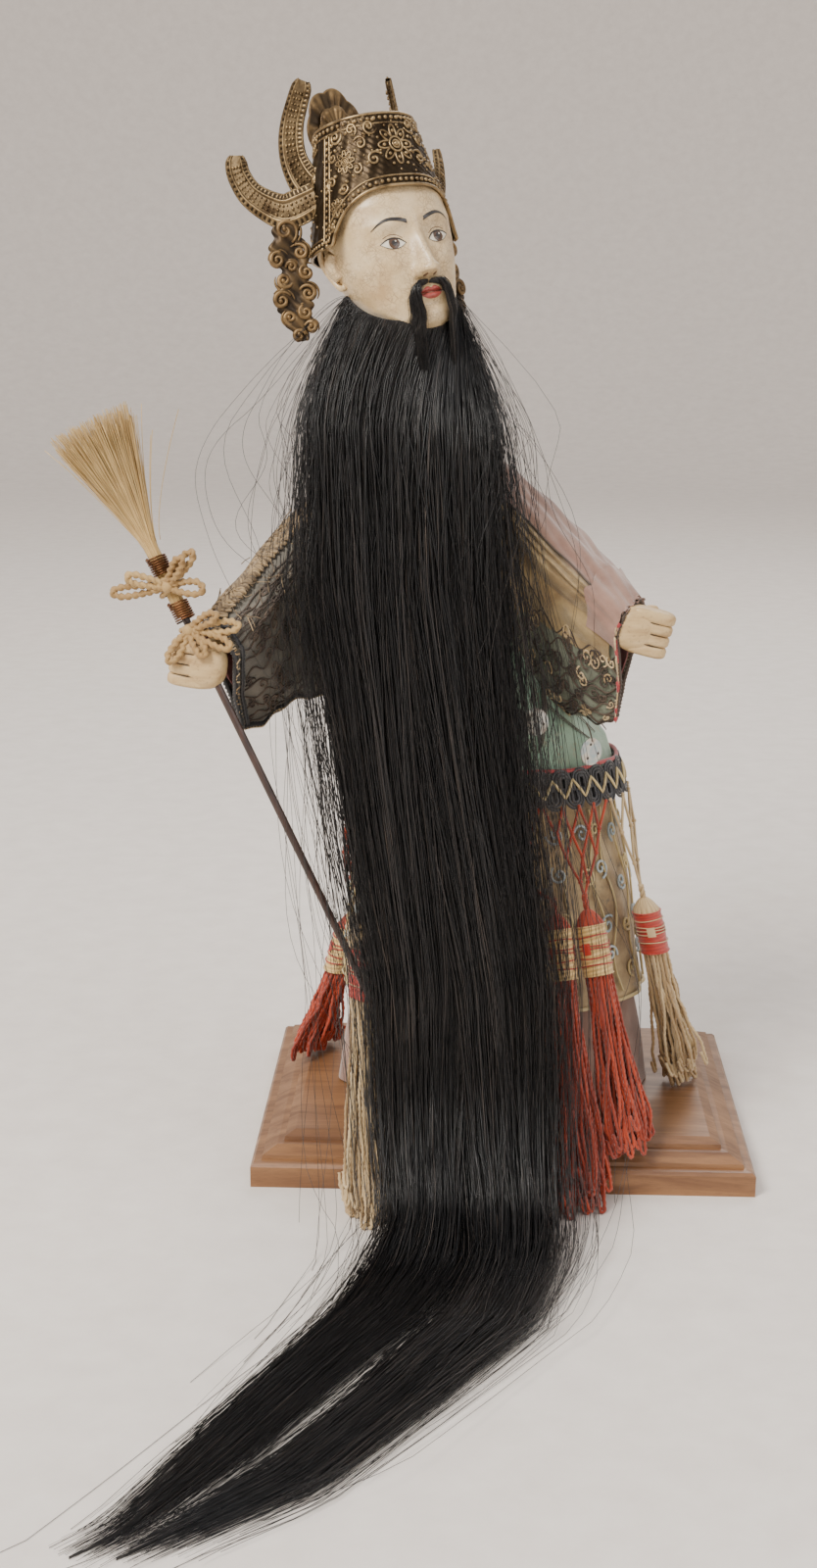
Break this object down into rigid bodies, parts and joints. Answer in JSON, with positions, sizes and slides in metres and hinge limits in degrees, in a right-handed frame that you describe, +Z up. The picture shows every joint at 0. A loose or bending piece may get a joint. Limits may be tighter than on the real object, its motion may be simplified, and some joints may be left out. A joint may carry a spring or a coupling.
{
  "type": "bearded theatre puppet on a display stand",
  "caption": "Carved puppet with a turning head, crown and floor-length beard, jointed arms in wide sleeves, fly whisk, and tasselled robe, standing on a moulded wooden plinth.",
  "frame": {"origin": "centre of the plinth's flat underside", "axes": "+Z up through the figure, -Y the way the puppet faces, -X towards the puppet's own right hand"},
  "size_m": [0.2754, 0.3912, 0.4258],
  "materials": {
    "stained_wood": "satin stained and varnished",
    "dark_wood": "dark stained stick",
    "pale_wood": "bare carved wood",
    "painted_wood": "cream paint, finely crazed, satin",
    "steel": "plain wire and screw steel",
    "bronze_sheet": "embossed sheet, dark antique patina",
    "copper_wire": "fine wrapped wire",
    "black_hair": "long straight black hair",
    "mint_silk": "pale green silk with dark embroidery",
    "grey_silk": "worn grey brown silk",
    "mauve_wool": "dusty rose wool and straw satin",
    "skirt_wool": "dusty mauve wool",
    "gold_brocade": "tan and gold brocade",
    "black_braid": "black scalloped braid with gold thread",
    "red_cord": "twisted red silk cord",
    "cream_cord": "twisted cream silk cord",
    "raffia": "twisted raffia cord",
    "straw": "stiff blond bristle",
    "mother_of_pearl": "polished shell disc"
  },
  "bodies": {
    "stand": {"base_plinth": "stained_wood", "support_post": "dark_wood", "post_screw": "steel", "torso_block": "pale_wood", "shoulder_pin_right": "steel", "shoulder_pin_left": "steel", "robe_body": "mint_silk", "collar": "mint_silk", "trim_braid": "black_braid", "underskirt": "gold_brocade", "skirt": "skirt_wool", "net_right": "cream_cord", "net_left": "red_cord", "pearl_disc": "mother_of_pearl", "beard_fall": "black_hair", "beard_lock_outer": "black_hair", "beard_lock_inner": "black_hair"},
    "head": {"head": "painted_wood", "crown_band": "bronze_sheet", "crown_crest": "bronze_sheet", "crown_wing_outer_right": "bronze_sheet", "crown_wing_upper_right": "bronze_sheet", "crown_wing_outer_left": "bronze_sheet", "crown_wing_upper_left": "bronze_sheet", "side_ornament_right": "bronze_sheet", "side_ornament_left": "bronze_sheet", "moustache_right": "black_hair", "moustache_left": "black_hair", "beard_root": "black_hair"},
    "upper_arm_right": {"upper_arm_right": "pale_wood", "upper_sleeve_right": "grey_silk"},
    "forearm_right": {"forearm_right": "pale_wood", "lower_sleeve_right": "grey_silk", "elbow_pin_right": "steel", "wrist_pin_right": "steel"},
    "hand_right": {"hand_right": "painted_wood"},
    "upper_arm_left": {"upper_arm_left": "pale_wood", "upper_sleeve_left": "mauve_wool"},
    "forearm_left": {"forearm_left": "pale_wood", "lower_sleeve_left": "mauve_wool", "elbow_pin_left": "steel", "wrist_pin_left": "steel"},
    "hand_left": {"hand_left": "painted_wood"},
    "whisk": {"whisk_staff": "dark_wood", "whisk_bristles": "straw", "wire_binding_upper": "copper_wire", "wire_binding_lower": "copper_wire", "raffia_bow_upper": "raffia", "raffia_bow_lower": "raffia"},
    "tassel_cream_left": {"tassel_head_cream_left": "cream_cord", "tassel_strings_cream_left": "cream_cord"},
    "tassel_red_left": {"tassel_head_red_left": "red_cord", "tassel_strings_red_left": "red_cord"},
    "tassel_red_centre": {"tassel_head_red_centre": "red_cord", "tassel_strings_red_centre": "red_cord"},
    "tassel_cream_right": {"tassel_head_cream_right": "cream_cord", "tassel_strings_cream_right": "cream_cord"},
    "tassel_red_right": {"tassel_head_red_right": "red_cord", "tassel_strings_red_right": "red_cord"}
  },
  "joints": [
    {"name": "head_turn", "type": "hinge", "parent": "stand", "child": "head", "pos_m": [-0.045, 0, 0.336], "axis": [-0.1032, -0.025, 0.9943], "range_deg": [-35, 35]},
    {"name": "shoulder_right", "type": "hinge", "parent": "stand", "child": "upper_arm_right", "pos_m": [-0.0587, 0.0016, 0.26915], "axis": [-0.3196, 0.9015, -0.2918], "range_deg": [0, 20]},
    {"name": "elbow_right", "type": "hinge", "parent": "upper_arm_right", "child": "forearm_right", "pos_m": [-0.095, -0.022, 0.236], "axis": [-0.3346, 0.852, -0.4028], "range_deg": [0, 15]},
    {"name": "wrist_right", "type": "hinge", "parent": "forearm_right", "child": "hand_right", "pos_m": [-0.1107, -0.0371, 0.2171], "axis": [-0.3346, 0.852, -0.4028], "range_deg": [0, 12]},
    {"name": "shoulder_left", "type": "hinge", "parent": "stand", "child": "upper_arm_left", "pos_m": [-0.0181, 0.0016, 0.27485], "axis": [-0.2271, -0.9578, 0.176], "range_deg": [0, 25]},
    {"name": "elbow_left", "type": "hinge", "parent": "upper_arm_left", "child": "forearm_left", "pos_m": [0.023, -0.014, 0.243], "axis": [-0.3822, -0.8567, 0.3464], "range_deg": [0, 20]},
    {"name": "wrist_left", "type": "hinge", "parent": "forearm_left", "child": "hand_left", "pos_m": [0.039, -0.027, 0.2285], "axis": [-0.3822, -0.8567, 0.3464], "range_deg": [0, 15]},
    {"name": "whisk_slide", "type": "slide", "parent": "hand_right", "child": "whisk", "axis": [-0.4426, 0.1435, 0.8852], "range_m": [0, 0.02]},
    {"name": "tassel_swing_cream_left", "type": "hinge", "parent": "stand", "child": "tassel_cream_left", "pos_m": [0.055, -0.024, 0.112], "axis": [0.6727, -0.7399, 0], "range_deg": [0, 15]},
    {"name": "tassel_swing_red_left", "type": "hinge", "parent": "stand", "child": "tassel_red_left", "pos_m": [0.031, -0.046, 0.1145], "axis": [-0.8074, -0.59, 0], "range_deg": [0, 15]},
    {"name": "tassel_swing_red_centre", "type": "hinge", "parent": "stand", "child": "tassel_red_centre", "pos_m": [0.0185, -0.052, 0.1145], "axis": [-0.9311, -0.3649, 0], "range_deg": [0, 6]},
    {"name": "tassel_swing_cream_right", "type": "hinge", "parent": "stand", "child": "tassel_cream_right", "pos_m": [-0.0575, -0.042, 0.101], "axis": [-0.1483, 0.9889, 0], "range_deg": [0, 12]},
    {"name": "tassel_swing_red_right", "type": "hinge", "parent": "stand", "child": "tassel_red_right", "pos_m": [-0.064, 0.038, 0.084], "axis": [-0.6644, 0.7474, 0], "range_deg": [0, 12]}
  ]
}
